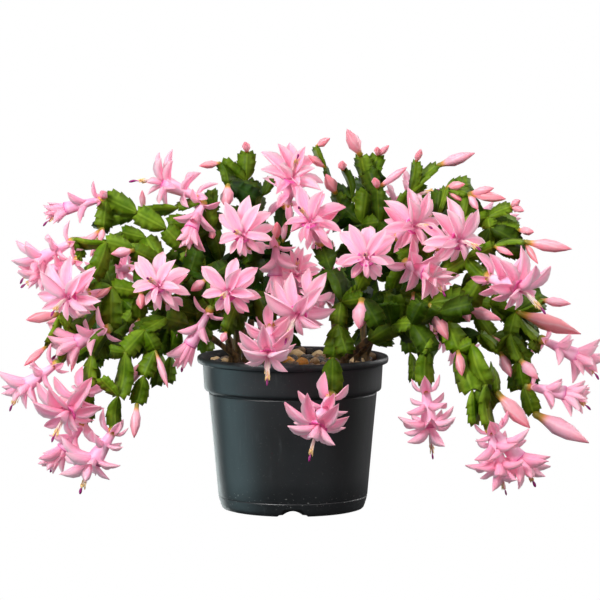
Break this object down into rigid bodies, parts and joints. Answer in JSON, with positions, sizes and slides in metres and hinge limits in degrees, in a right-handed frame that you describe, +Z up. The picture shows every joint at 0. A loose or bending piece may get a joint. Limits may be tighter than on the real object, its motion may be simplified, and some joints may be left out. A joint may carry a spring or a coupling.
{
  "type": "potted christmas cactus",
  "caption": "Christmas cactus in full bloom: arching stems of flat joints with pale pink flowers and buds, growing from a pebble-dressed black nursery pot",
  "frame": {"origin": "the middle of the flat hub under the pot's floor, on the pot's axis, at the level of the surface that the hub and the foot ring stand on", "axes": "+Z is up the pot's axis, +X runs to the right along the plant's broadest spread, and the side that is pictured faces -Y"},
  "size_m": [0.5933, 0.4283, 0.3819],
  "materials": {
    "pot": "satin",
    "potting_mix": "matte",
    "gravel": "matte",
    "stem": "satin",
    "petal": "matte"
  },
  "bodies": {
    "root": {"pot": "pot", "potting_mix": "potting_mix", "gravel": "gravel", "stem_left_upper": "stem", "stem_left_middle": "stem", "stem_left_lower": "stem", "stem_crown_left": "stem", "stem_front_left": "stem", "stem_front_right": "stem", "stem_crown_right": "stem", "stem_right_upper": "stem", "stem_right_middle": "stem", "stem_right_lower": "stem", "stem_far_right": "stem", "stem_far_back_right": "stem", "stem_far_back": "stem", "stem_far_back_left": "stem", "stem_far_left": "stem", "flower_01": "petal", "flower_02": "petal", "flower_03": "petal", "flower_04": "petal", "flower_05": "petal", "flower_06": "petal", "flower_07": "petal", "flower_08": "petal", "flower_09": "petal", "flower_10": "petal", "flower_11": "petal", "flower_12": "petal", "flower_13": "petal", "flower_14": "petal", "flower_15": "petal", "flower_16": "petal", "flower_17": "petal", "flower_18": "petal", "flower_19": "petal", "flower_20": "petal", "flower_21": "petal", "flower_22": "petal", "flower_23": "petal", "flower_24": "petal", "flower_25": "petal", "flower_26": "petal", "flower_27": "petal", "flower_28": "petal", "flower_29": "petal", "flower_30": "petal", "flower_31": "petal", "flower_32": "petal", "flower_33": "petal", "flower_34": "petal", "flower_35": "petal", "flower_36": "petal", "flower_37": "petal", "flower_38": "petal", "flower_39": "petal", "flower_40": "petal", "flower_41": "petal", "flower_42": "petal"}
  },
  "joints": []
}
